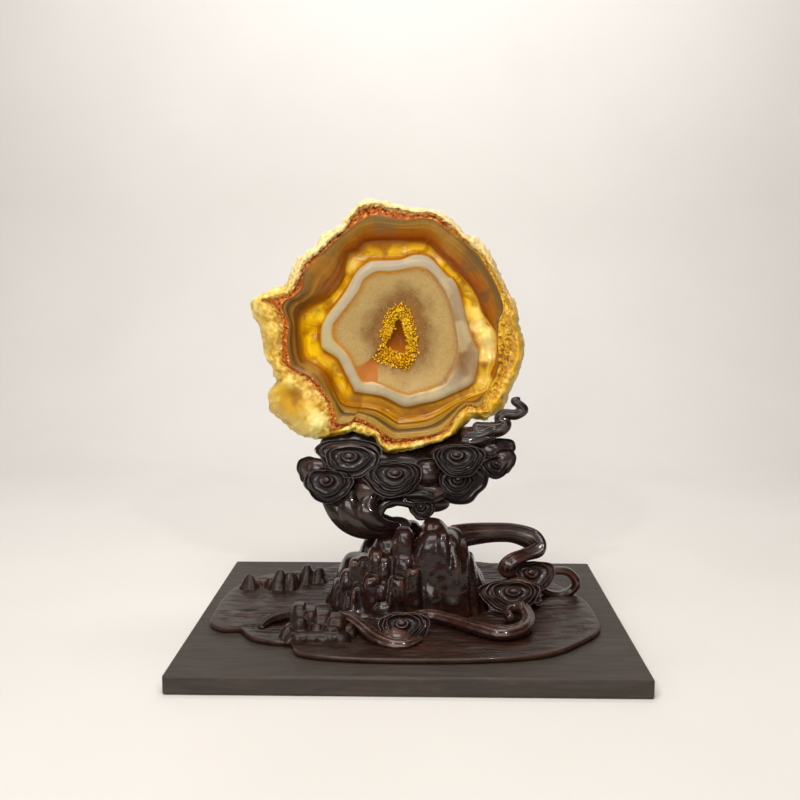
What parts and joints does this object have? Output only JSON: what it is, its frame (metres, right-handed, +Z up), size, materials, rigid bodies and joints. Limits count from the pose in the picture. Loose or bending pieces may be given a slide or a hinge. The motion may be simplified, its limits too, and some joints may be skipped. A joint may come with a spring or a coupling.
{
  "type": "gobi agate on a carved stand",
  "caption": "Hollow-faced gobi agate with a weathered rind and a crystal-lined hollow, resting in a carved cloud-and-mountain hardwood stand on a thin board.",
  "frame": {"origin": "centre of the underside of the board, on the surface it stands on", "axes": "+Z up, -Y the way the stone's face looks, +X to the right as seen from the front"},
  "size_m": [0.24, 0.2, 0.2486],
  "materials": {
    "agate": "waxy natural stone: pale yellow rind, orange crumbly layer, glossy yellow channel, milky ring, sugary quartz",
    "druse": "sparkling small crystals",
    "dark_wood": "polished dark hardwood",
    "board_wood": "satin dark hardwood"
  },
  "bodies": {
    "root": {"agate": "agate", "druse_crust": "druse", "cloud_seat": "dark_wood", "mountain": "dark_wood", "cloud_ribbon_right": "dark_wood", "cloud_ribbon_front": "dark_wood", "carved_ground": "dark_wood", "base_board": "board_wood"}
  },
  "joints": []
}
